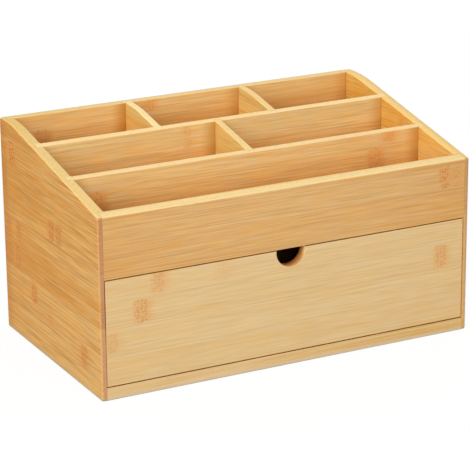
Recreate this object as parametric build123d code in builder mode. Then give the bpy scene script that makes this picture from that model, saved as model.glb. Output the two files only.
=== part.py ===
from build123d import *
import math
import os

# Desk organizer of laminated bamboo board: a case with a sloping rim, six open
# compartments over a tray floor, and one drawer below them that slides out forwards.
# Millimetres. X is the width, -Y the front, +Z up. The origin is the middle of the base.

# Driving dimensions of the case
case_width = 320.0
case_depth = 186.0
front_height = 143.5            # rim height at the front panel
rear_height = 175.5             # rim height at the back panel
level_rim_depth = 23.0          # level stretch of the rim, ahead of the back face
rim_blend_radius = 150.0        # bend where the slope meets the level stretch
panel_thickness = 9.0           # sides, front panel and back panel
base_thickness = 10.5
tray_floor_thickness = 6.0
divider_thickness = 6.0

# Driving dimensions of the joinery
panel_joint_depth = 5.0         # rebates and dadoes cut in the panels
divider_joint_depth = 3.0       # dadoes cut in the long dividers
glue_gap = 0.1                  # room for glue round every housed edge
stop_gap = 0.2                  # room behind the front boards in their rebate

# Driving dimensions of the drawer
drawer_front_height = 83.0
drawer_front_gap = 0.7          # above and below the drawer front
drawer_front_side_gap = 0.6     # between the drawer front and the case's edge strips
drawer_wall_thickness = 6.0
drawer_headroom = 7.2           # between the drawer walls and the tray floor
drawer_side_gap = 1.0           # between the drawer box and the case's sides
drawer_running_gap = 0.3        # between the drawer box and the base board
drawer_rear_gap = 3.0           # between the drawer box and the back panel
drawer_front_joint_depth = 4.5  # dadoes and groove in the back of the drawer front
drawer_joint_depth = 3.0        # rebates and grooves in the drawer's thin walls
drawer_bottom_thickness = 4.0
drawer_bottom_lift = 4.0        # lower edge of the walls to the drawer bottom
notch_radius = 12.5             # finger notch in the drawer front's upper edge
notch_drop = 1.5                # notch centre below that edge

# Driving dimensions of the eased edges
panel_edge_radius = 1.5         # long outer edges of the panels
panel_corner_extra = 0.5        # the side panels' corners are this much rounder than that
rear_foot_radius = 4.0          # the case's lower rear edge
divider_edge_radius = 0.8       # upper edges of the dividers and inner edges of the rim
front_edge_radius = 0.4         # edges round the drawer front and facing it

# Driving dimensions of the brads
brad_length = 20.0
brad_radius = 0.6
brad_head_radius = 0.9
brad_head_height = 0.8
brad_point_length = 1.6
brad_recess = 0.2               # heads are set this far below the surface
brad_clearance = 0.02           # round shank and head in the wood
brad_margin = 20.0              # end brads to the end of the board that they hold
rear_brad_margin = 60.0         # brads along the back panel to the case's sides

# Faces and levels of the case
half_width = case_width / 2
front_y = -case_depth / 2
back_y = case_depth / 2
inner_x = half_width - panel_thickness
inner_front_y = front_y + panel_thickness
inner_back_y = back_y - panel_thickness
housing_x = inner_x + panel_joint_depth         # bottoms of the rebates and dadoes in the sides
board_half_width = housing_x - glue_gap         # boards housed between the sides
housing_back_y = inner_back_y + panel_joint_depth
rebate_run = panel_thickness + stop_gap         # rebates along the sides' front and rear edges

drawer_front_bottom = base_thickness + drawer_front_gap
drawer_front_top = drawer_front_bottom + drawer_front_height
front_panel_bottom = drawer_front_top + drawer_front_gap
tray_top = front_panel_bottom + tray_floor_thickness

rim_corner_y = back_y - level_rim_depth
rim_angle = math.atan2(rear_height - front_height, rim_corner_y - front_y)
panel_corner_radius = panel_edge_radius + panel_corner_extra
blend_room = level_rim_depth - 2 * panel_corner_radius
blend_radius = min(rim_blend_radius, blend_room / math.tan(rim_angle / 2))

row_depth = (inner_back_y - inner_front_y - 2 * divider_thickness) / 3
front_divider_y = inner_front_y + row_depth + divider_thickness / 2
rear_divider_y = inner_back_y - row_depth - divider_thickness / 2
column_width = (2 * inner_x - 2 * divider_thickness) / 3
rear_short_x = (column_width + divider_thickness) / 2

# Faces and levels of the drawer
drawer_front_half_width = housing_x - drawer_front_side_gap
wall_outer_x = inner_x - drawer_side_gap
wall_inner_x = wall_outer_x - drawer_wall_thickness
wall_bottom = base_thickness + drawer_running_gap
wall_top = front_panel_bottom - drawer_headroom
wall_front_y = inner_front_y - drawer_front_joint_depth + glue_gap
wall_back_y = inner_back_y - drawer_rear_gap
drawer_inner_back_y = wall_back_y - drawer_wall_thickness
drawer_floor_bottom = wall_bottom + drawer_bottom_lift
drawer_floor_top = drawer_floor_bottom + drawer_bottom_thickness
notch_z = drawer_front_top - notch_drop

# Brad places, each a point on the surface that the brads are driven through
side_brad_x = (inner_x + housing_x) / 2         # in the inner half of each side panel
rear_brad_y = (inner_back_y + back_y) / 2
drawer_brad_y = (drawer_inner_back_y + wall_back_y) / 2
tray_brad_z = front_panel_bottom + tray_floor_thickness / 2
side_brad_run = (front_y + brad_margin, 0, back_y - brad_margin)
rear_brad_run = (-half_width + rear_brad_margin, 0, half_width - rear_brad_margin)
lower_brad_levels = (base_thickness + brad_margin, front_panel_bottom - brad_margin)
upper_brad_levels = (tray_top + brad_margin, rear_height - brad_margin)
base_brad_points = [(x, y, 0) for x in (-side_brad_x, side_brad_x) for y in side_brad_run]
base_brad_points += [(x, rear_brad_y, 0) for x in rear_brad_run]
back_brad_points = [
    (x, back_y, z) for x in (-side_brad_x, side_brad_x)
    for z in lower_brad_levels + upper_brad_levels
]
back_brad_points += [(x, back_y, tray_brad_z) for x in rear_brad_run]
back_brad_points += [
    (x, back_y, z) for x in (-rear_short_x, rear_short_x) for z in upper_brad_levels
]
left_drawer_brad_points = [(-wall_outer_x, drawer_brad_y, z) for z in lower_brad_levels]
right_drawer_brad_points = [(wall_outer_x, drawer_brad_y, z) for z in lower_brad_levels]

DOWN, LEFT, RIGHT, REARWARD = (0, 0, -1), (-1, 0, 0), (1, 0, 0), (0, 1, 0)

os.makedirs("parts", exist_ok=True)


def block(x_range, y_range, z_range, mode=Mode.ADD):
    """Add or cut a square-edged block between two corners."""
    ranges = (x_range, y_range, z_range)
    with Locations(Vector(*[(low + high) / 2 for low, high in ranges])):
        Box(*[high - low for low, high in ranges], mode=mode)


def trim_to_rim():
    """Cut the open board down to the sloping rim of the case."""
    extrude(rim_region.sketch, amount=case_width, both=True, mode=Mode.INTERSECT)


def add_ends(ranges):
    """Add the square ends that stand in a housing to a board whose top is already eased."""
    for x_range, y_range, z_range in ranges:
        block(x_range, y_range, z_range)
    trim_to_rim()


def house_in_side(y_range, z_range):
    """Cut a rebate or dado in the inner face of the open left side panel."""
    block((-housing_x, -inner_x), y_range, z_range, mode=Mode.SUBTRACT)


def dado_round(middle):
    """The range that a dado takes for a divider with its middle plane here."""
    reach = divider_thickness / 2 + glue_gap
    return middle - reach, middle + reach


def ease_top(board):
    """Round the two long upper edges of a straight board."""
    top_edges = board.faces().sort_by(Axis.Z)[-1].edges()
    fillet(top_edges.sort_by(SortBy.LENGTH)[-2:], divider_edge_radius)


def brad_seats(points, outward):
    """Planes at the tops of the brads' heads, facing out of the wood."""
    return [Plane(origin=point, z_dir=outward).offset(-brad_recess) for point in points]


def bore_for_brads(points, outward):
    """Bore the open board where these brads pass through it."""
    below = (Align.CENTER, Align.CENTER, Align.MAX)
    above = (Align.CENTER, Align.CENTER, Align.MIN)
    head_bore = brad_head_radius + brad_clearance
    with Locations(*brad_seats(points, outward)):
        Cylinder(brad_radius + brad_clearance, brad_length + brad_clearance,
                 align=below, mode=Mode.SUBTRACT)
        Cylinder(head_bore, brad_head_height + brad_clearance, align=below, mode=Mode.SUBTRACT)
        Cylinder(head_bore, 2 * brad_recess, align=above, mode=Mode.SUBTRACT)


def finish(piece, name):
    """Name a finished piece and write its STEP file."""
    piece.label = name
    export_step(piece, f"parts/{name}.step")


# The outline under the rim: straight slope, long bend, level stretch at the rear
with BuildSketch(Plane.YZ) as rim_region:
    with BuildLine():
        Polyline(
            (front_y, 0), (front_y, front_height), (rim_corner_y, rear_height),
            (back_y, rear_height), (back_y, 0), close=True,
        )
    make_face()
    rim_corner = rim_region.vertices().group_by(Axis.Y)[-1].sort_by(Axis.X)[0]
    fillet(rim_corner, blend_radius)

# One brad, pointing down from the origin at the top of its head
with BuildPart() as brad:
    with BuildSketch(Plane.XZ):
        with BuildLine():
            Polyline(
                (0, 0), (brad_head_radius, 0), (brad_head_radius, -brad_head_height),
                (brad_radius, -brad_head_height), (brad_radius, brad_point_length - brad_length),
                (0, -brad_length), close=True,
            )
        make_face()
    revolve(axis=Axis.Z)

# Case: side panels, with a rebate along the front, the rear and the bottom

with BuildPart() as left_side_panel:
    with BuildSketch(Plane.YZ.offset(-half_width)) as side_outline:
        add(rim_region.sketch_local)
        outline_corners = side_outline.vertices().group_by(Axis.X)
        foot, rear_top = outline_corners[-1].sort_by(Axis.Y)
        fillet(outline_corners[0] + [rear_top], panel_corner_radius)
        fillet(foot, rear_foot_radius)
    extrude(amount=panel_thickness)
    fillet(left_side_panel.faces().sort_by(Axis.X)[0].edges(), panel_edge_radius)
    house_in_side((front_y, front_y + rebate_run), (0, rear_height))
    house_in_side((back_y - rebate_run, back_y), (0, rear_height))
    house_in_side((front_y, back_y), (0, base_thickness))
    inner_rim = left_side_panel.faces().sort_by(Axis.X)[-1].edges().filter_by(GeomType.CIRCLE)
    fillet(inner_rim, divider_edge_radius)
    house_in_side((front_y, back_y), (front_panel_bottom, tray_top + glue_gap))
    for divider_y in (front_divider_y, rear_divider_y):
        house_in_side(dado_round(divider_y), (tray_top, rear_height))
    bore_for_brads(base_brad_points, DOWN)
    bore_for_brads(back_brad_points, REARWARD)
finish(left_side_panel.part, "left_side_panel")

with BuildPart() as right_side_panel:
    mirror(left_side_panel.part, about=Plane.YZ)
finish(right_side_panel.part, "right_side_panel")

# Case: boards housed between the side panels

inside_x = (-inner_x, inner_x)
board_x = (-board_half_width, board_half_width)
board_ends_x = ((-board_half_width, -inner_x), (inner_x, board_half_width))

with BuildPart() as front_panel:
    front_panel_y = (front_y, inner_front_y)
    front_panel_z = (front_panel_bottom, rear_height)
    block(inside_x, front_panel_y, front_panel_z)
    trim_to_rim()
    rear_edges = front_panel.faces().sort_by(Axis.Y)[-1].edges().filter_by(Axis.X).sort_by(Axis.Z)
    fillet(rear_edges[-1], divider_edge_radius)
    add_ends([(end_x, front_panel_y, front_panel_z) for end_x in board_ends_x])
    front_edges = front_panel.faces().sort_by(Axis.Y)[0].edges().filter_by(Axis.X).sort_by(Axis.Z)
    fillet(front_edges[-1], panel_edge_radius)
    fillet(front_edges[0], front_edge_radius)
finish(front_panel.part, "front_panel")

with BuildPart() as base_board:
    block(board_x, (front_y, back_y), (0, base_thickness))
    front_edges = base_board.faces().sort_by(Axis.Y)[0].edges().filter_by(Axis.X).sort_by(Axis.Z)
    rear_edges = base_board.faces().sort_by(Axis.Y)[-1].edges().filter_by(Axis.X).sort_by(Axis.Z)
    fillet(rear_edges[0], rear_foot_radius)
    fillet(front_edges[0], panel_edge_radius)
    fillet(front_edges[-1], front_edge_radius)
    bore_for_brads(base_brad_points, DOWN)
finish(base_board.part, "base_board")

with BuildPart() as tray_floor:
    block(board_x, (inner_front_y, housing_back_y - glue_gap), (front_panel_bottom, tray_top))
    bore_for_brads(back_brad_points, REARWARD)
finish(tray_floor.part, "tray_floor")

with BuildPart() as back_panel:
    back_panel_y = (inner_back_y, back_y)
    back_panel_z = (base_thickness, rear_height)
    block(inside_x, back_panel_y, back_panel_z)
    top_edges = back_panel.faces().sort_by(Axis.Z)[-1].edges().filter_by(Axis.X).sort_by(Axis.Y)
    fillet(top_edges[0], divider_edge_radius)
    add_ends([(end_x, back_panel_y, back_panel_z) for end_x in board_ends_x])
    rear_edges = back_panel.faces().sort_by(Axis.Y)[-1].edges().filter_by(Axis.X).sort_by(Axis.Z)
    fillet(rear_edges[-1], panel_edge_radius)
    block(board_x, (inner_back_y, housing_back_y), (front_panel_bottom, tray_top + glue_gap),
          mode=Mode.SUBTRACT)
    for divider_x in (-rear_short_x, rear_short_x):
        block(dado_round(divider_x), (inner_back_y, housing_back_y), (tray_top, rear_height),
              mode=Mode.SUBTRACT)
    bore_for_brads(base_brad_points, DOWN)
    bore_for_brads(back_brad_points, REARWARD)
finish(back_panel.part, "back_panel")

# Case: dividers, standing on the tray floor and cut to the slope of the rim

half_divider = divider_thickness / 2
divider_z = (tray_top, rear_height)
front_divider_back_y = front_divider_y + half_divider
rear_divider_front_y = rear_divider_y - half_divider
rear_divider_back_y = rear_divider_y + half_divider

with BuildPart() as front_long_divider:
    front_divider_range = (front_divider_y - half_divider, front_divider_back_y)
    block(inside_x, front_divider_range, divider_z)
    trim_to_rim()
    ease_top(front_long_divider)
    add_ends([(end_x, front_divider_range, divider_z) for end_x in board_ends_x])
    block(dado_round(0), (front_divider_back_y - divider_joint_depth, front_divider_back_y),
          divider_z, mode=Mode.SUBTRACT)
finish(front_long_divider.part, "front_long_divider")

with BuildPart() as rear_long_divider:
    rear_divider_range = (rear_divider_front_y, rear_divider_back_y)
    block(inside_x, rear_divider_range, divider_z)
    trim_to_rim()
    ease_top(rear_long_divider)
    add_ends([(end_x, rear_divider_range, divider_z) for end_x in board_ends_x])
    block(dado_round(0), (rear_divider_front_y, rear_divider_front_y + divider_joint_depth),
          divider_z, mode=Mode.SUBTRACT)
    for divider_x in (-rear_short_x, rear_short_x):
        block(dado_round(divider_x), (rear_divider_back_y - divider_joint_depth, rear_divider_back_y),
              divider_z, mode=Mode.SUBTRACT)
finish(rear_long_divider.part, "rear_long_divider")

tenon = divider_joint_depth - glue_gap

with BuildPart() as middle_short_divider:
    middle_x = (-half_divider, half_divider)
    block(middle_x, (front_divider_back_y, rear_divider_front_y), divider_z)
    trim_to_rim()
    ease_top(middle_short_divider)
    add_ends([(middle_x, end_y, divider_z) for end_y in (
        (front_divider_back_y - tenon, front_divider_back_y),
        (rear_divider_front_y, rear_divider_front_y + tenon),
    )])
finish(middle_short_divider.part, "middle_short_divider")

with BuildPart() as rear_left_short_divider:
    rear_left_x = (-rear_short_x - half_divider, -rear_short_x + half_divider)
    block(rear_left_x, (rear_divider_back_y, inner_back_y), divider_z)
    trim_to_rim()
    fillet(rear_left_short_divider.edges().filter_by(GeomType.CIRCLE), divider_edge_radius)
    add_ends([(rear_left_x, end_y, divider_z) for end_y in (
        (rear_divider_back_y - tenon, rear_divider_back_y),
        (inner_back_y, housing_back_y - glue_gap),
    )])
    bore_for_brads(back_brad_points, REARWARD)
finish(rear_left_short_divider.part, "rear_left_short_divider")

with BuildPart() as rear_right_short_divider:
    mirror(rear_left_short_divider.part, about=Plane.YZ)
finish(rear_right_short_divider.part, "rear_right_short_divider")

# Drawer: front board with its finger notch, and a box of thin boards behind it

with BuildPart() as drawer_front:
    block((-drawer_front_half_width, drawer_front_half_width), (front_y, inner_front_y),
          (drawer_front_bottom, drawer_front_top))
    with BuildSketch(Plane.XZ.offset(-front_y)):
        with Locations((0, notch_z)):
            Circle(notch_radius)
    extrude(amount=-panel_thickness, mode=Mode.SUBTRACT)
    fillet(drawer_front.faces().sort_by(Axis.Y)[0].edges(), front_edge_radius)
    fillet(drawer_front.faces().sort_by(Axis.Y)[-1].edges().filter_by(GeomType.CIRCLE),
           front_edge_radius)
    joint_y = (inner_front_y - drawer_front_joint_depth, inner_front_y)
    for side in (-1, 1):
        wall_x = sorted((side * (wall_inner_x - glue_gap), side * (wall_outer_x + glue_gap)))
        block(wall_x, joint_y, (drawer_front_bottom, wall_top + glue_gap), mode=Mode.SUBTRACT)
    block((-wall_inner_x, wall_inner_x), joint_y,
          (drawer_floor_bottom, drawer_floor_top + glue_gap), mode=Mode.SUBTRACT)
finish(drawer_front.part, "drawer_front")

with BuildPart() as drawer_left_side:
    block((-wall_outer_x, -wall_inner_x), (wall_front_y, wall_back_y), (wall_bottom, wall_top))
    ease_top(drawer_left_side)
    joint_x = (-wall_inner_x - drawer_joint_depth, -wall_inner_x)
    block(joint_x, (drawer_inner_back_y, wall_back_y), (wall_bottom, wall_top), mode=Mode.SUBTRACT)
    block(joint_x, (wall_front_y, drawer_inner_back_y),
          (drawer_floor_bottom, drawer_floor_top + glue_gap), mode=Mode.SUBTRACT)
    bore_for_brads(left_drawer_brad_points, LEFT)
finish(drawer_left_side.part, "drawer_left_side")

with BuildPart() as drawer_right_side:
    mirror(drawer_left_side.part, about=Plane.YZ)
finish(drawer_right_side.part, "drawer_right_side")

thin_board_half_width = wall_inner_x + drawer_joint_depth - glue_gap
thin_board_x = (-thin_board_half_width, thin_board_half_width)

with BuildPart() as drawer_back:
    block(thin_board_x, (drawer_inner_back_y, wall_back_y), (wall_bottom, wall_top))
    ease_top(drawer_back)
    block(thin_board_x, (drawer_inner_back_y, drawer_inner_back_y + drawer_joint_depth),
          (drawer_floor_bottom, drawer_floor_top + glue_gap), mode=Mode.SUBTRACT)
    bore_for_brads(left_drawer_brad_points, LEFT)
    bore_for_brads(right_drawer_brad_points, RIGHT)
finish(drawer_back.part, "drawer_back")

with BuildPart() as drawer_bottom:
    block(thin_board_x, (wall_front_y, drawer_inner_back_y + drawer_joint_depth - glue_gap),
          (drawer_floor_bottom, drawer_floor_top))
finish(drawer_bottom.part, "drawer_bottom")

# Brads, one group for each set

with BuildPart() as base_board_brads:
    with Locations(*brad_seats(base_brad_points, DOWN)):
        add(brad.part)
finish(base_board_brads.part, "base_board_brads")

with BuildPart() as back_panel_brads:
    with Locations(*brad_seats(back_brad_points, REARWARD)):
        add(brad.part)
finish(back_panel_brads.part, "back_panel_brads")

with BuildPart() as drawer_brads:
    with Locations(*brad_seats(left_drawer_brad_points, LEFT),
                   *brad_seats(right_drawer_brad_points, RIGHT)):
        add(brad.part)
finish(drawer_brads.part, "drawer_brads")
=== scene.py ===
import math

import bpy
from mathutils import Euler, Matrix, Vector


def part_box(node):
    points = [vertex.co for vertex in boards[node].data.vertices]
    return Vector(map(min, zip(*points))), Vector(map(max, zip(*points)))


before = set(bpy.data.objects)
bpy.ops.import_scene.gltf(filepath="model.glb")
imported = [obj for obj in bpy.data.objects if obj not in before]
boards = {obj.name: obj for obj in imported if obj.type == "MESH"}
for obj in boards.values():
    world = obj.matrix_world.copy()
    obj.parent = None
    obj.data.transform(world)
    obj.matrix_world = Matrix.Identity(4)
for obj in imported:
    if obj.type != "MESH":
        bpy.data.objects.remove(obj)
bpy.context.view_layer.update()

print("organizer loaded:", len(boards), "pieces")


def facesOf(nodeName, axis):
    # where the two faces of a board stand along x, y or z
    lowest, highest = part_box(nodeName)
    return getattr(lowest, axis), getattr(highest, axis)


innerLeft = facesOf("left_side_panel", "x")[1]
innerRight = facesOf("right_side_panel", "x")[0]
rearLeft = facesOf("rear_left_short_divider", "x")
rearRight = facesOf("rear_right_short_divider", "x")
middle = facesOf("middle_short_divider", "x")
frontOuter, frontInner = facesOf("front_panel", "y")
backInner = facesOf("back_panel", "y")[0]
drawerFaces = facesOf("drawer_front", "y")
drawerRight = facesOf("drawer_front", "x")[1]
drawerTop = facesOf("drawer_front", "z")[1]


class Wire:
    # one output in a shader tree; arithmetic on it adds Math nodes
    def __init__(self, sheet, plug):
        self.sheet = sheet
        self.plug = plug

    def maths(self, operation, *others):
        return self.sheet.maths(operation, self, *others)

    def __add__(self, other):
        return self.sheet.maths("ADD", self, other)

    def __sub__(self, other):
        return self.sheet.maths("SUBTRACT", self, other)

    def __rsub__(self, other):
        return self.sheet.maths("SUBTRACT", other, self)

    def __mul__(self, other):
        return self.sheet.maths("MULTIPLY", self, other)

    def __truediv__(self, other):
        return self.sheet.maths("DIVIDE", self, other)

    def __rtruediv__(self, other):
        return self.sheet.maths("DIVIDE", other, self)

    __radd__ = __add__
    __rmul__ = __mul__


class Sheet:
    # the shader tree of one material or of the world
    def __init__(self, owner):
        owner.use_nodes = True
        self.tree = owner.node_tree
        self.tree.nodes.clear()

    def add(self, kind, settings=None, sockets=None, out=0):
        # a new node; returns the output with this number or name, or every output if out is None
        node = self.tree.nodes.new(kind)
        for name, value in (settings or {}).items():
            if name == "steps":
                self.setSteps(node.color_ramp, value)
            else:
                setattr(node, name, value)
        for name, value in (sockets or {}).items():
            if isinstance(value, Wire):
                self.tree.links.new(value.plug, node.inputs[name])
            else:
                node.inputs[name].default_value = value
        if out is None:
            return [Wire(self, plug) for plug in node.outputs]
        return Wire(self, node.outputs[out]) if node.outputs else None

    def setSteps(self, ramp, values):
        ramp.interpolation = "CONSTANT"
        while len(ramp.elements) < len(values):
            ramp.elements.new(1.0)
        for place, value in enumerate(values):
            ramp.elements[place].position = place / len(values)
            ramp.elements[place].color = (value, value, value, 1)

    def maths(self, operation, *values):
        return self.add("ShaderNodeMath", dict(operation=operation), dict(enumerate(values)))

    def split(self, vector):
        return self.add("ShaderNodeSeparateXYZ", None, {"Vector": vector}, out=None)

    def join(self, x, y, z):
        return self.add("ShaderNodeCombineXYZ", None, {"X": x, "Y": y, "Z": z})

    def fade(self, value, start, end, low=0.0, high=1.0):
        # a smooth step from low, at the start, to high, at the end
        return self.add("ShaderNodeMapRange", dict(interpolation_type="SMOOTHSTEP"), {
            "Value": value, "From Min": start, "From Max": end, "To Min": low, "To Max": high})

    def noise(self, vector, seed, detail=2.0, roughness=0.5):
        return self.add("ShaderNodeTexNoise", dict(noise_dimensions="4D"), {
            "Vector": vector, "W": seed, "Scale": 1.0, "Detail": detail, "Roughness": roughness})

    def blend(self, share, first, second):
        # the numbers are those of the Mix node's colour sockets
        return self.add("ShaderNodeMix", dict(data_type="RGBA", clamp_factor=True),
                        {0: share, 6: first, 7: second}, out=2)

    def tint(self, shade, share, gain, gainBefore=(1, 1, 1)):
        # a colour multiplied by gainBefore where the share is 0 and by gain where it is 1
        gains = self.blend(share, (*gainBefore, 1), (*gain, 1))
        return self.add("ShaderNodeVectorMath", dict(operation="MULTIPLY"), {0: shade, 1: gains})

    def chosen(self, number, values):
        # the value with this number in the list, each between 0 and 1
        return self.add("ShaderNodeValToRGB", dict(steps=values), {"Fac": (number + 0.5) / len(values)})


def colour(hexCode, gain=(1, 1, 1)):
    # a colour as a paint program writes it, made linear and multiplied
    levels = [int(hexCode[n:n + 2], 16) / 255 for n in (0, 2, 4)]
    linear = [v / 12.92 if v <= 0.04045 else ((v + 0.055) / 1.055) ** 2.4 for v in levels]
    return (*[v * g for v, g in zip(linear, gain)], 1)


# turns a board's own directions to along the grain, across the slats and through the board
grainTurns = {
    "upright across the width": Euler((math.radians(-90), 0, 0)),
    "upright along the depth": Matrix(((0, 1, 0), (0, 0, 1), (1, 0, 0))).to_euler(),
    "lying": Euler((0, 0, 0)),
}

# the layers of the grain, from the broadest to the finest, and the specks and hues over it
grainLayers = dict(
    bands=dict(width=0.013, length=0.30, seed=0.0, detail=1.0),
    streaks=dict(width=0.0036, length=0.16, seed=3.1, detail=1.0),
    fibres=dict(width=0.0009, length=0.085, seed=7.7, detail=1.0),
    flecks=dict(width=0.0009, length=0.018, seed=9.3, detail=0.0),
    threads=dict(width=0.0008, length=0.045, seed=11.3, detail=0.0),
    speckles=dict(width=0.0009, length=0.0030, seed=15.9, detail=2.0, roughness=0.6),
    hues=dict(width=0.006, length=0.018, seed=19.1, detail=1.0),
)

bamboo = dict(
    slatWidth=0.021,                      # the slats that a board is glued up from
    slatCount=10,                         # more than any board has
    slatSlide=0.37,                       # moves the grain on from slat to slat
    slatContrast=0.3,                     # how far the slats differ where a board gives no tones
    seamWidth=0.0004, seamDepth=0.18,
    waverWidth=0.030, waverLength=0.060, waverReach=0.0015, waverSeed=23.0,     # the fibres wander
    threadFrom=0.56, threadTo=0.68,       # only the peaks of this layer show as dark threads
    redFrom=0.60, redTo=0.34, redRagged=0.5, redLeast=0.15, redSpread=0.35,     # redder bands
    insideFrom=0.0035, insideTo=0.0025,   # how deep in the back panel the case's inside ends
    warmBounceReach=0.040,                       # height over which the painted warm bounce light, redder low down, comes in
    cornerReach=0.015,                    # a soft shadow and a thin dark line in each inner corner
    cornerLineFrom=0.0010, cornerLineTo=0.0004, cornerLineDepth=0.3,
    endGrainLength=0.02, endGrainWidth=0.0012, endGrainDepth=1.8, endGrainSeed=2.0,
    edgeDepth=2.4, edgeThreads=0.2,
    faceEnds=0.45, edgeStarts=0.85,       # how far a normal turns before the edge's wood shows
    roundFrom=0.985, roundTo=0.90,          # and from where to where an edge is rounded
    rimFrom=0.05, rimTo=0.50,             # how far upwards the rim faces
    # painted contact shadow low down near the floor, and painted shade on the rounded edges of the
    # underside
    underFrom=-0.10, underTo=-0.35, underDepth=0.7,
    floorFrom=0.0045, floorTo=0.0010, floorDepth=0.8,
    reliefStrength=0.25, reliefHeight=0.00012, streakRelief=0.6, threadRelief=0.5,
    roughness=0.50, fibreRoughness=0.14, endRoughness=0.12,
    gloss=0.22, refraction=1.45,
    # how the face's colour changes
    paleGain=(1.05, 1.13, 1.28), deepGain=(0.93, 0.76, 0.53),
    richPaleGain=(1.07, 1.19, 2.10), richDeepGain=(0.88, 0.71, 0.33),
    warmGain=(1.06, 1.01, 0.84), coolGain=(0.94, 0.99, 1.16),
    redGain=(1.02, 0.78, 0.52),
    warmBounceGain=(1.51, 1.25, 0.92),
    haloGain=(0.99, 0.76, 0.58),
    cornerGain=(0.72, 0.51, 0.24),
    threadGain=(0.66, 0.50, 0.32),
    dotGain=(0.50, 0.27, 0.13),
    # and the colours of the edges and ends
    edgePaleGain=(1.06, 1.08, 1.16),
    endPaleGain=(1.08, 1.10, 1.14), endDeepGain=(0.80, 0.71, 0.67),
    edgeHighlightGain=(1.06, 1.04, 1.10),
)

# marks where the culm's joints were: rows of dots, with a warm halo beside them
joint = dict(
    placeReach=0.35,                      # the farthest that a joint may be from a board's middle
    mostStrength=2.0,
    swayWidth=0.006, swayReach=0.008, swaySeed=5.0,
    haloShift=0.0015, haloReach=0.00775, haloRagged=0.012,
    dotsFrom=0.00396, dotsTo=0.00288,     # where the rows of dots end and where they are full
    dotColumn=0.0021, dotRow=0.0021, dotScatter=0.5,
    dotEdge=0.48, dotCore=0.18,
    dotLeast=0.1, dotMost=0.5,            # no dot below the first chance number, full above the second
    seamGap=0.01, dotSeam=0.10, haloSeam=0.22,
)

# what a board has when its own values below don't say otherwise
plainBoard = dict(
    joints={}, moreJoints={},             # slat, counted from the lowest: place along the grain, strength
    jointSpread=1.0,
    tones={},                             # slat: how pale it is, from 0 to 1, and 0.5 for the others
    endTones={},                          # the same for its end grain
    drift=0.0, bow=0.0,                   # how the tone changes and bends along the board
    rich=False,                           # a wider range of colours
    grainDepth=(0.6, 1.0, 1.6, 0.6),      # of the bands, streaks, fibres and flecks
    redDepth=0.8, hueDepth=1.2, threadDepth=0.30, haloDepth=0.9, dotDepth=0.35,
    warmBounceBelow=None,                        # painted warm bounce light: the face inside the case is redder and lighter below this height
    shades=[], edgeShades=[],             # tints of the face and of the edges, from a start to an end; most on the edges are painted shade
    corners={},                           # where other boards stand against it, and how dark it gets
    gapLight=None,                             # painted light on the inner face in the narrow gap beside the drawer
    litEnd=None,                         # painted light: a paler colour of the end grain at the right and low down
    notchWall=None,                       # colour of the wall of the finger notch
    contactShadow=None,                         # colour of the painted contact shadow close to what the organizer stands on, and of the painted shade under its rounded bottom edges
    speckleDepth=1.6, edgeDrift=0.0, edgeStreaks=0.0, edgeDeep=(0.90, 0.84, 0.66),
    edgeHighlightDepth=0.25,
)


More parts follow.
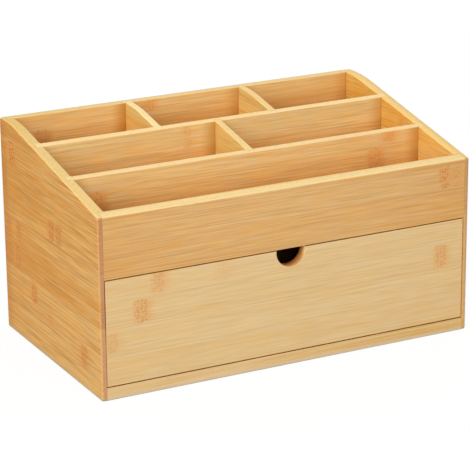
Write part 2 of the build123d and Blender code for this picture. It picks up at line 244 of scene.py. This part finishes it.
class Board(Sheet):
    # the sheet of one board: where a point lies in it, its grain and, from these, its colour
    def __init__(self, owner, look):
        super().__init__(owner)
        self.look = dict(plainBoard, **look)
        self.findPlace()
        self.findSlat()
        self.growGrain()

    def findPlace(self):
        # a point's place in the case and in the board, and which way it faces
        turn = grainTurns[self.look["grain"]]
        place = self.add("ShaderNodeTexCoord", out="Object")
        facing = self.add("ShaderNodeTexCoord", out="Normal")
        self.places = dict(zip(("width", "depth", "height"), self.split(place)))
        self.upwards = self.split(facing)[2]
        turned = self.add("ShaderNodeMapping", None, {"Vector": place, "Rotation": turn})
        self.along, self.across, self.through = self.split(turned)
        turned = self.add("ShaderNodeMapping", dict(vector_type="NORMAL"),
                          {"Vector": facing, "Rotation": turn})
        parts = [part.maths("ABSOLUTE") for part in self.split(turned)]
        self.endwise, self.edgewise, self.flatwise = parts
        self.onEdge = self.fade(self.edgewise, bamboo["faceEnds"], bamboo["edgeStarts"])
        self.onEnd = self.fade(self.endwise, bamboo["faceEnds"], bamboo["edgeStarts"])

    def findSlat(self):
        # the slat that a point is in, how far it is from the slat's edge, and the slat's own tone
        slat = (self.across - self.look["seamAt"]) / bamboo["slatWidth"]
        self.number = slat.maths("FLOOR")
        self.fromSeam = slat.maths("PINGPONG", 0.5)
        chances = self.add("ShaderNodeTexWhiteNoise", dict(noise_dimensions="2D"),
                           {"Vector": self.join(self.number + 0.5, self.look["seed"], 0.0)}, out="Color")
        toneChance, self.redChance, _ = self.split(chances)
        if self.look["tones"]:
            self.slatTone = self.bySlat(self.look["tones"])
        else:
            self.slatTone = 0.5 + (toneChance - 0.5) * bamboo["slatContrast"]

    def bySlat(self, values, others=0.5):
        values = [values.get(slat, others) for slat in range(bamboo["slatCount"])]
        return self.chosen(self.number, values)

    def growGrain(self):
        # every layer of the grain, long and narrow, on fibres that wander a little
        slid = self.along + self.number * bamboo["slatSlide"]
        point = self.join(self.along / bamboo["waverLength"], self.across / bamboo["waverWidth"], 0.0)
        waver = self.noise(point, self.look["seed"] + bamboo["waverSeed"], 1.0)
        swayed = self.across + (waver - 0.5) * bamboo["waverReach"]
        self.grain = {}
        for name, layer in grainLayers.items():
            width = layer["width"]
            point = self.join(slid / layer["length"], swayed / width, self.through / width)
            self.grain[name] = self.noise(point, self.look["seed"] + layer["seed"],
                                          layer["detail"], layer.get("roughness", 0.5))
        self.threads = self.fade(self.grain["threads"], bamboo["threadFrom"], bamboo["threadTo"])

    def vary(self, layer, depth):
        # a layer of the grain, swinging about 0
        return (self.grain[layer] - 0.5) * depth

    def paint(self, part, gain=(1, 1, 1)):
        return colour(self.look[part], gain)

    def inside(self):
        # 1 everywhere but on the back of the case
        return self.fade(self.places["depth"],
                         backInner + bamboo["insideFrom"], backInner + bamboo["insideTo"])

    def jointMark(self, joints):
        # the halo and the dots of one joint in each slat that has one
        spread, reach, most = self.look["jointSpread"], joint["placeReach"], joint["mostStrength"]
        spot = self.bySlat({slat: 0.5 + place / (2 * reach) for slat, (place, _) in joints.items()})
        strength = self.bySlat({slat: strong / most for slat, (_, strong) in joints.items()}, 0.0) * most
        sway = self.noise(self.join(0.0, self.across / joint["swayWidth"], 0.0),
                          self.look["seed"] + joint["swaySeed"], 1.0)
        offset = self.along - (spot - 0.5) * (2 * reach) + (sway - 0.5) * joint["swayReach"]
        awayFromSeam = self.fade(self.fromSeam, joint["seamGap"], joint["dotSeam"])
        beside = offset - joint["haloShift"] * spread + self.vary("fibres", joint["haloRagged"])
        halo = self.fade(beside.maths("ABSOLUTE"), joint["haloReach"] * spread, 0.0) * strength
        halo = halo * self.fade(self.fromSeam, joint["seamGap"], joint["haloSeam"])
        point = self.join(offset / (joint["dotColumn"] * spread), self.across / joint["dotRow"], 0.0)
        cells = self.add("ShaderNodeTexVoronoi", dict(voronoi_dimensions="2D"),
                         {"Vector": point, "Scale": 1.0, "Randomness": joint["dotScatter"]}, out=None)
        distance, chance = cells[:2]
        within = self.fade(offset.maths("ABSOLUTE"), joint["dotsFrom"] * spread, joint["dotsTo"] * spread)
        shown = self.fade(self.split(chance)[0], joint["dotLeast"], joint["dotMost"])
        dots = self.fade(distance, joint["dotEdge"], joint["dotCore"]) * shown * within
        return halo * awayFromSeam, dots * awayFromSeam * strength

    def broadFace(self):
        # pale and deep grain, redder bands, warm and cool specks, and dark threads, with painted warm
        # bounce light low inside the case
        look = self.look
        bandDepth, streakDepth, fibreDepth, fleckDepth = look["grainDepth"]
        tone = (self.slatTone + self.along * (look["drift"] + self.along * look["bow"])
                + self.vary("bands", bandDepth) + self.vary("streaks", streakDepth)
                + self.vary("fibres", fibreDepth) + self.vary("flecks", fleckDepth))
        pale, deep = ("richPaleGain", "richDeepGain") if look["rich"] else ("paleGain", "deepGain")
        wood = self.blend(tone, self.paint("face", bamboo[deep]), self.paint("face", bamboo[pale]))
        redness = self.grain["bands"] + self.vary("streaks", bamboo["redRagged"])
        redness = self.fade(redness, bamboo["redFrom"], bamboo["redTo"])
        redness = redness * (self.redChance * bamboo["redSpread"] + bamboo["redLeast"]) * look["redDepth"]
        wood = self.blend(redness, wood, self.paint("face", bamboo["redGain"]))
        hue = self.vary("hues", look["hueDepth"]) + 0.5
        wood = self.tint(wood, hue, bamboo["coolGain"], bamboo["warmGain"])
        # painted warm bounce light in the shade low inside the case: redder and lighter towards the
        # bottom
        if look["warmBounceBelow"]:
            low = self.fade(self.across, look["warmBounceBelow"], look["warmBounceBelow"] - bamboo["warmBounceReach"])
            wood = self.tint(wood, low * self.inside(), bamboo["warmBounceGain"])
        darkThreads = self.threads * look["threadDepth"]
        return self.blend(darkThreads, wood, self.paint("face", bamboo["threadGain"]))

    def withJoints(self, wood):
        # the joints' halos and dots, and the fine lines between the slats
        look = self.look
        if look["joints"]:
            halo, dots = self.jointMark(look["joints"])
            if look["moreJoints"]:
                moreHalo, moreDots = self.jointMark(look["moreJoints"])
                halo, dots = halo.maths("MAXIMUM", moreHalo), dots.maths("MAXIMUM", moreDots)
            wood = self.blend(halo * look["haloDepth"], wood, self.paint("face", bamboo["haloGain"]))
            wood = self.blend(dots * look["dotDepth"], wood, self.paint("face", bamboo["dotGain"]))
        seam = self.fade(self.fromSeam, 0.0, bamboo["seamWidth"] / bamboo["slatWidth"], 1.0, 0.0)
        return self.blend(seam * bamboo["seamDepth"], wood, self.paint("face", bamboo["dotGain"]))

    def shaded(self, wood):
        # the face's own tints, the shadows in the inner corners, and painted light in the gap beside the
        # drawer
        look = self.look
        for shade in look["shades"]:
            share = self.fade(self.places[shade["over"]], shade["start"], shade["end"])
            wood = self.tint(wood, share, shade["gain"])
        if look["corners"]:
            share = 0.0
            for corner, strength in look["corners"].items():
                distance = (self.along - corner).maths("ABSOLUTE")
                line = self.fade(distance, bamboo["cornerLineFrom"], bamboo["cornerLineTo"])
                shadow = self.fade(distance, bamboo["cornerReach"], 0.0)
                dark = line * bamboo["cornerLineDepth"] + shadow * strength
                share = dark.maths("MAXIMUM", share)
            wood = self.blend(share * self.inside(), wood, self.paint("face", bamboo["cornerGain"]))
        # painted light: the shaded inner face in the gap beside the drawer is made pale
        if look["gapLight"]:
            share = (self.fade(self.places["width"], *look["gapLightWidth"])
                     * self.fade(self.places["depth"], *look["gapLightDepth"]))
            wood = self.blend(share, wood, self.paint("gapLight"))
        return wood

    def sawnEdge(self):
        # the long edges, a mixture of speckles and fibres
        look, speckle = self.look, self.look["speckleDepth"]
        tone = (0.5 + self.vary("speckles", speckle) + self.vary("fibres", bamboo["edgeDepth"] - speckle)
                - self.threads * bamboo["edgeThreads"])
        tone = tone + self.along * look["edgeDrift"] + self.vary("streaks", look["edgeStreaks"])
        deep, pale = self.paint("edge", look["edgeDeep"]), self.paint("edge", bamboo["edgePaleGain"])
        return self.blend(tone, deep, pale)

    def cutEnd(self):
        # the fibres' cut ends, slat by slat
        look, length, width = self.look, bamboo["endGrainLength"], bamboo["endGrainWidth"]
        point = self.join(self.along / length, self.across / width, self.through / width)
        tone = self.bySlat(look["endTones"]) if look["endTones"] else self.slatTone
        cells = self.noise(point, look["seed"] + bamboo["endGrainSeed"])
        tone = tone + (cells - 0.5) * bamboo["endGrainDepth"]
        deep, pale = self.paint("end", bamboo["endDeepGain"]), self.paint("end", bamboo["endPaleGain"])
        wood = self.blend(tone, deep, pale)
        # painted light on the shaded end grain at the right and low down
        if look["litEnd"]:
            share = self.fade(self.along, *look["litEndFrom"])
            share = share.maths("MAXIMUM", self.fade(self.across, *look["litEndBelow"]))
            wood = self.blend(share, wood, self.paint("litEnd"))
        return wood

    def notched(self, wood):
        # painted shade makes the notch's wall deeper in colour towards the inside of the drawer, and
        # painted light makes it lighter high up
        look = self.look
        cut = self.fade(self.along.maths("ABSOLUTE"), *look["notchReach"])
        wall = self.blend(self.fade(self.places["depth"], *look["notchDepth"]),
                          self.paint("notchWall"), self.paint("notchShadow"))
        wall = self.tint(wall, self.fade(self.places["height"], *look["notchLightHeight"]), look["notchLightGain"])
        return self.blend(cut * self.onEdge.maths("MAXIMUM", self.onEnd), wood, wall)

    def edgeLightAndShade(self, wood):
        # rounded edges are made pale as a painted highlight, except along the underside, which gets a
        # greyer painted shade
        look = self.look
        flattest = self.endwise.maths("MAXIMUM", self.edgewise).maths("MAXIMUM", self.flatwise)
        rounded = self.fade(flattest, bamboo["roundFrom"], bamboo["roundTo"])
        # painted highlight on the rounded edges
        wood = self.blend(rounded * look["edgeHighlightDepth"], wood, self.paint("edge", bamboo["edgeHighlightGain"]))
        # painted contact shadow near the floor and painted shade under the rounded bottom edges
        if look["contactShadow"]:
            low = self.fade(self.places["height"], bamboo["floorFrom"], bamboo["floorTo"],
                            0.0, bamboo["floorDepth"])
            under = self.fade(self.upwards, bamboo["underFrom"], bamboo["underTo"])
            below = rounded * under * bamboo["underDepth"]
            wood = self.blend(low.maths("MAXIMUM", below), wood, self.paint("contactShadow"))
        shares = {"rim": self.fade(self.upwards, bamboo["rimFrom"], bamboo["rimTo"]), "end": self.onEnd}
        # tints of the rounded rims and ends, most of them painted shade where the rounding turns from the
        # lamps
        for shade in look["edgeShades"]:
            share = self.fade(self.places[shade["over"]], shade["start"], shade["end"])
            wood = self.tint(wood, share * shares[shade["on"]], shade["gain"])
        return wood

    def finish(self):
        wood = self.shaded(self.withJoints(self.broadFace()))
        wood = self.blend(self.onEdge, wood, self.sawnEdge())
        wood = self.blend(self.onEnd, wood, self.cutEnd())
        if self.look["notchWall"]:
            wood = self.notched(wood)
        height = self.grain["fibres"] + self.grain["streaks"] * bamboo["streakRelief"]
        relief = self.add("ShaderNodeBump", None, {
            "Strength": bamboo["reliefStrength"], "Distance": bamboo["reliefHeight"],
            "Height": height - self.threads * bamboo["threadRelief"]})
        roughness = (bamboo["roughness"] + self.vary("fibres", bamboo["fibreRoughness"])
                     + self.onEnd * bamboo["endRoughness"])
        surface = self.add("ShaderNodeBsdfPrincipled", None, {
            "Base Color": self.edgeLightAndShade(wood), "Roughness": roughness, "Normal": relief,
            "IOR": bamboo["refraction"], "Specular IOR Level": bamboo["gloss"]})
        self.add("ShaderNodeOutputMaterial", None, {"Surface": surface})


def giveMaterial(nodeName, material):
    boards[nodeName].data.materials.clear()
    boards[nodeName].data.materials.append(material)


def dress(nodeName, look):
    material = bpy.data.materials.new(nodeName + "_bamboo")
    Board(material, look).finish()
    giveMaterial(nodeName, material)
    print(nodeName, "finished")


leftSide = dict(
    grain="upright along the depth", seed=1.0, seamAt=-0.0055,
    joints={1: (-0.0625, 1.0), 2: (0.0325, 1.1), 3: (0.0640, 1.0), 4: (0.0610, 0.9),
            5: (-0.0060, 1.2), 7: (0.0697, 1.6)},
    moreJoints={3: (0.0780, 0.8), 4: (0.0800, 0.8), 5: (-0.0200, 0.9)},
    tones={0: 0.72, 1: 0.70, 2: 0.70, 3: 0.27, 4: 0.46, 5: 0.36, 6: 0.28, 7: 0.40, 8: 0.38}, drift=-2.6,
    shades=[dict(over="depth", start=0.074, end=0.091, gain=(0.89, 0.80, 0.62))],
    edgeShades=[dict(on="rim", over="depth", start=0.048, end=0.062, gain=(1.0, 0.97, 0.78))],
    face="C5923D", edge="DEBD78", end="BD8C5F", contactShadow="AF9A72", rich=True,
    grainDepth=(0.35, 0.6, 2.0, 1.1), threadDepth=0.60, redDepth=0.5, hueDepth=1.8,
    haloDepth=0.8, dotDepth=0.60, jointSpread=1.5, edgeHighlightDepth=0.12, edgeDrift=-2.0,
)
dress("left_side_panel", leftSide)

rightSide = dict(
    grain="upright along the depth", seed=2.0, seamAt=-0.0045,
    joints={0: (0.05, 0.8), 2: (-0.041, 1.0), 3: (0.012, 0.9), 5: (-0.066, 1.0),
            6: (0.074, 0.8), 7: (-0.006, 0.8)},
    tones={0: 0.6, 2: 0.6, 3: 0.45, 5: 0.55, 7: 0.45, 8: 0.35}, drift=-1.8,
    endTones={0: 0.6, 1: 0.6, 2: 0.55, 4: 0.4, 5: 0.1, 6: 0.0, 7: 0.0, 8: 0.0},
    # painted shade on the outer rounding of the rim and of the front end
    edgeShades=[dict(on="rim", over="width", start=innerRight + 0.0030, end=innerRight + 0.0080,
                     gain=(0.82, 0.84, 0.76)),
                dict(on="end", over="width", start=innerRight + 0.0062, end=innerRight + 0.0088,
                     gain=(0.76, 0.84, 1.02))],
    face="DDAC50", edge="EAC375", end="CDA166", contactShadow="AF9A72", rich=True,
    # the pale colour in the gap beside the drawer is painted light
    gapLight="F6C078", gapLightWidth=(innerRight + 0.0004, innerRight - 0.0002),
    gapLightDepth=(frontInner - 0.0005, frontInner - 0.0015),
    grainDepth=(0.5, 0.7, 1.5, 1.1), redDepth=0.5, hueDepth=1.4,
)
dress("right_side_panel", rightSide)

frontPanel = dict(
    grain="upright across the width", seed=3.0, seamAt=-0.0060,
    joints={6: (0.137, 1.7), 7: (-0.081, 1.6)}, moreJoints={6: (0.1475, 0.7)},
    tones={4: 0.42, 5: 0.47, 6: 0.56}, drift=-0.2, bow=-10.5,
    edgeShades=[dict(on="rim", over="depth", start=frontOuter + 0.0045, end=frontOuter + 0.0085,
                     gain=(0.97, 0.86, 0.74))],
    face="CEA66D", edge="E5CA8D", end="BD8C5F",
    grainDepth=(0.08, 0.15, 0.95, 0.65), threadDepth=0.32, redDepth=0.4, hueDepth=1.1,
    haloDepth=0.65, dotDepth=0.36, jointSpread=1.15, edgeHighlightDepth=0.5,
)
dress("front_panel", frontPanel)

drawerFront = dict(
    grain="upright across the width", seed=4.0, seamAt=-0.0072,
    joints={2: (-0.1525, 0.6), 3: (-0.1270, 1.2), 4: (-0.1130, 0.75)},
    moreJoints={3: (0.1345, 1.0), 4: (-0.0600, 0.2)},
    tones={2: 0.55, 4: 0.6}, drift=-0.1, bow=-4.0,
    # the dark edge and end colours are painted shade for the narrow gaps around the drawer front
    face="D2B786", edge="AE7226", end="A5733F",
    litEnd="E6C692", litEndFrom=(drawerRight - 0.0104, drawerRight - 0.0064), litEndBelow=(0.068, 0.040),
    notchWall="E1AE70", notchShadow="A3591B", notchReach=(0.0130, 0.0125), notchDepth=drawerFaces,
    notchLightHeight=(drawerTop - 0.0112, drawerTop - 0.0022), notchLightGain=(1.30, 1.55, 1.70),
    grainDepth=(0.12, 0.12, 0.58, 0.55), threadDepth=0.18, redDepth=0.4, hueDepth=0.7,
    haloDepth=1.3, dotDepth=0.33, jointSpread=1.5,
)
dress("drawer_front", drawerFront)

baseBoard = dict(
    grain="lying", seed=5.0, seamAt=-0.099,
    # the dark face is painted shade for the gap under the drawer front
    face="A06A1E", edge="CFB180", end="BD8C5F", contactShadow="C9B797",
    speckleDepth=0.3, edgeDeep=(0.92, 0.76, 0.45), edgeDrift=-1.2, edgeStreaks=1.0,
)
dress("base_board", baseBoard)

backPanel = dict(
    grain="upright across the width", seed=6.0, seamAt=-0.0040,
    joints={0: (0.06, 0.8), 1: (-0.1, 0.9), 2: (0.02, 1.0), 4: (-0.06, 0.8), 5: (0.11, 0.9),
            7: (-0.129, 1.8), 8: (-0.034, 1.0)},
    corners={innerLeft: 0.3, rearLeft[0]: 0.95, rearLeft[1]: 0.3,
             rearRight[0]: 0.7, rearRight[1]: 0.2, innerRight: 0.6},
    tones={1: 0.55, 2: 0.45, 4: 0.55, 7: 0.42, 8: 0.48}, drift=-0.6, warmBounceBelow=0.168,
    # painted shade on the rim's outer rounding
    edgeShades=[dict(on="rim", over="depth", start=backInner + 0.0045, end=backInner + 0.0082,
                     gain=(0.83, 0.86, 0.76))],
    face="DBB271", edge="E2C27E", end="BD8C5F",
    grainDepth=(0.4, 0.45, 1.1, 0.8), hueDepth=1.4, haloDepth=1.25, dotDepth=0.20, jointSpread=1.45,
)
dress("back_panel", backPanel)

trayFloor = dict(
    grain="lying", seed=7.0, seamAt=-0.099,
    joints={1: (0.04, 0.9), 3: (-0.08, 0.8), 4: (0.12, 0.9), 6: (-0.02, 0.8), 8: (0.1, 0.9)},
    face="DCAD6A", edge="DFC07E", end="BD8C5F",
)
dress("tray_floor", trayFloor)

frontDivider = dict(
    grain="upright across the width", seed=8.0, seamAt=-0.0025,
    joints={6: (0.110, 1.5), 7: (0.122, 0.9)}, moreJoints={6: (-0.134, 1.7)},
    corners={innerLeft: 0.5, innerRight: 0.85},
    tones={6: 0.48, 7: 0.78, 8: 0.7}, drift=-0.5, warmBounceBelow=0.144,
    face="DAB06F", edge="E9CA90", end="BD8C5F",
    grainDepth=(0.4, 0.5, 1.1, 0.9), hueDepth=1.6, haloDepth=1.15, dotDepth=0.20, jointSpread=1.6,
)
dress("front_long_divider", frontDivider)

rearDivider = dict(
    grain="upright across the width", seed=9.0, seamAt=-0.0005,
    joints={5: (0.07, 0.8), 7: (-0.028, 0.7)},
    corners={innerLeft: 0.15, middle[0]: 0.9, middle[1]: 0.12, innerRight: 0.7},
    tones={7: 0.38, 8: 0.4}, warmBounceBelow=0.160,
    face="DABB7F", edge="EDCF95", end="BD8C5F",
    grainDepth=(0.4, 0.5, 1.1, 0.9), hueDepth=1.6,
)
dress("rear_long_divider", rearDivider)

# the three short dividers, and after them the walls and bottom of the drawer, share one look each
shortDivider = dict(
    grain="upright along the depth", seamAt=-0.0025,
    face="D5B168", end="BD8C5F", warmBounceBelow=0.170, grainDepth=(0.4, 0.6, 1.0, 0.9),
)
dress("middle_short_divider", dict(shortDivider, seed=10.0, edge="E6C582", warmBounceBelow=0.150))
dress("rear_left_short_divider", dict(shortDivider, seed=11.0, edge="EFD499"))
dress("rear_right_short_divider", dict(shortDivider, seed=12.0, edge="E6C582"))

drawerWall = dict(
    grain="upright along the depth", seamAt=-0.004, joints={1: (0.02, 0.8), 3: (-0.05, 0.9)},
    face="D8AC70", edge="DFC07E", end="BD8C5F",
)
dress("drawer_left_side", dict(drawerWall, seed=13.0))
dress("drawer_right_side", dict(drawerWall, seed=14.0, joints={0: (0.05, 0.9), 2: (-0.03, 0.8)}))
dress("drawer_back", dict(drawerWall, seed=15.0, grain="upright across the width",
                          joints={1: (-0.06, 0.9), 2: (0.09, 0.8)}))
dress("drawer_bottom", dict(drawerWall, seed=16.0, grain="lying", seamAt=-0.099,
                            joints={1: (0.07, 0.8), 3: (0.03, 0.8), 5: (-0.01, 0.8), 7: (-0.05, 0.8)}))

# bright drawn wire with fine scuffs
brad = dict(
    steel="8F8C88", dullGain=(0.8, 0.8, 0.8), brightGain=(1.1, 1.1, 1.1),
    roughness=0.34, scuffRoughness=0.2, scuffWidth=0.00025,
)


def bradFinish():
    material = bpy.data.materials.new("drawn_steel")
    sheet = Sheet(material)
    place = sheet.add("ShaderNodeTexCoord", out="Object")
    scale = (1 / brad["scuffWidth"],) * 3
    scuffs = sheet.noise(sheet.add("ShaderNodeMapping", None, {"Vector": place, "Scale": scale}), 1.0)
    surface = sheet.add("ShaderNodeBsdfPrincipled", None, {
        "Base Color": sheet.blend(scuffs, colour(brad["steel"], brad["dullGain"]),
                                  colour(brad["steel"], brad["brightGain"])),
        "Metallic": 1.0,
        "Roughness": brad["roughness"] + (scuffs - 0.5) * brad["scuffRoughness"]})
    sheet.add("ShaderNodeOutputMaterial", None, {"Surface": surface})
    return material


steelFinish = bradFinish()
for nodeName in ("base_board_brads", "back_panel_brads", "drawer_brads"):
    giveMaterial(nodeName, steelFinish)
print("brads finished")

studio = dict(
    floorSide=8.0,
    floorGap=0.0002,           # the floor lies this far below the organizer
    floorTone=0.50,
    shadowShare=0.07,          # how much of the lamps' shading shows on the floor
    skyLight=0.60,
    keyPlace=(-2.85, -1.10, 1.57), keySize=(2.3, 2.2), keyPower=83.0,
    fillPlace=(-0.50, -3.12, 0.86), fillSize=(2.2, 0.9), fillPower=42.5,
    backPlace=(1.2, 1.5, 1.2), backSize=(1.4, 1.4), backPower=8.0,
)


def seenDirectly(sheet):
    # floor and sky look white, but light the organizer less than they would if they were
    path = {wire.plug.name: wire for wire in sheet.add("ShaderNodeLightPath", out=None)}
    seen = path["Is Camera Ray"].maths("MAXIMUM", path["Is Glossy Ray"])
    return seen.maths("MAXIMUM", path["Is Transmission Ray"])


def makeFloor():
    bpy.ops.object.select_all(action="DESELECT")
    bpy.ops.mesh.primitive_plane_add(size=studio["floorSide"], location=(0, 0, -studio["floorGap"]))
    floor = bpy.context.object
    floor.name = "floor"
    bpy.ops.object.transform_apply(location=True, rotation=True, scale=True)
    material = bpy.data.materials.new("white_floor")
    sheet = Sheet(material)
    matt = sheet.add("ShaderNodeBsdfDiffuse", None, {"Color": (studio["floorTone"],) * 3 + (1,)})
    shaded = sheet.add("ShaderNodeBsdfDiffuse", None, {"Color": (1, 1, 1, 1)})
    white = sheet.add("ShaderNodeEmission", None, {"Color": (1, 1, 1, 1), "Strength": 1.0})
    shown = sheet.add("ShaderNodeMixShader", None, {0: studio["shadowShare"], 1: white, 2: shaded})
    surface = sheet.add("ShaderNodeMixShader", None, {0: seenDirectly(sheet), 1: matt, 2: shown})
    sheet.add("ShaderNodeOutputMaterial", None, {"Surface": surface})
    floor.data.materials.append(material)


def makeWorld():
    world = bpy.data.worlds.new("studio")
    bpy.context.scene.world = world
    sheet = Sheet(world)
    strength = seenDirectly(sheet) * (1 - studio["skyLight"]) + studio["skyLight"]
    sky = sheet.add("ShaderNodeBackground", None, {"Color": (1, 1, 1, 1), "Strength": strength})
    sheet.add("ShaderNodeOutputWorld", None, {"Surface": sky})


def makeLamp(name):
    lamp = bpy.data.lights.new(name, "AREA")
    lamp.shape = "RECTANGLE"
    lamp.size, lamp.size_y = studio[name + "Size"]
    lamp.energy = studio[name + "Power"]
    holder = bpy.data.objects.new(name, lamp)
    bpy.context.scene.collection.objects.link(holder)
    holder.location = studio[name + "Place"]
    holder.rotation_euler = (-holder.location).to_track_quat("-Z", "Y").to_euler()


view = dict(
    aim=(0.0023, 0.0040, 0.0771),
    azimuth=-27.3401,
    elevation=18.1982,
    roll=-0.5904,
    distance=1.7802,
    lens=170.335,
    sensor=36.0,
)


def makeCamera():
    camera = bpy.data.cameras.new("camera")
    camera.lens = view["lens"]
    camera.sensor_width = view["sensor"]
    holder = bpy.data.objects.new("camera", camera)
    bpy.context.scene.collection.objects.link(holder)
    turn = (Matrix.Rotation(math.radians(view["azimuth"]), 4, "Z")
            @ Matrix.Rotation(math.radians(90 - view["elevation"]), 4, "X")
            @ Matrix.Rotation(math.radians(view["roll"]), 4, "Z"))
    away = Matrix.Translation((0, 0, view["distance"]))
    holder.matrix_world = Matrix.Translation(view["aim"]) @ turn @ away
    bpy.context.scene.camera = holder


makeFloor()
makeWorld()
for lampName in ("key", "fill", "back"):
    makeLamp(lampName)
makeCamera()
bpy.context.scene.view_settings.view_transform = "Standard"
print("floor, light and camera ready")
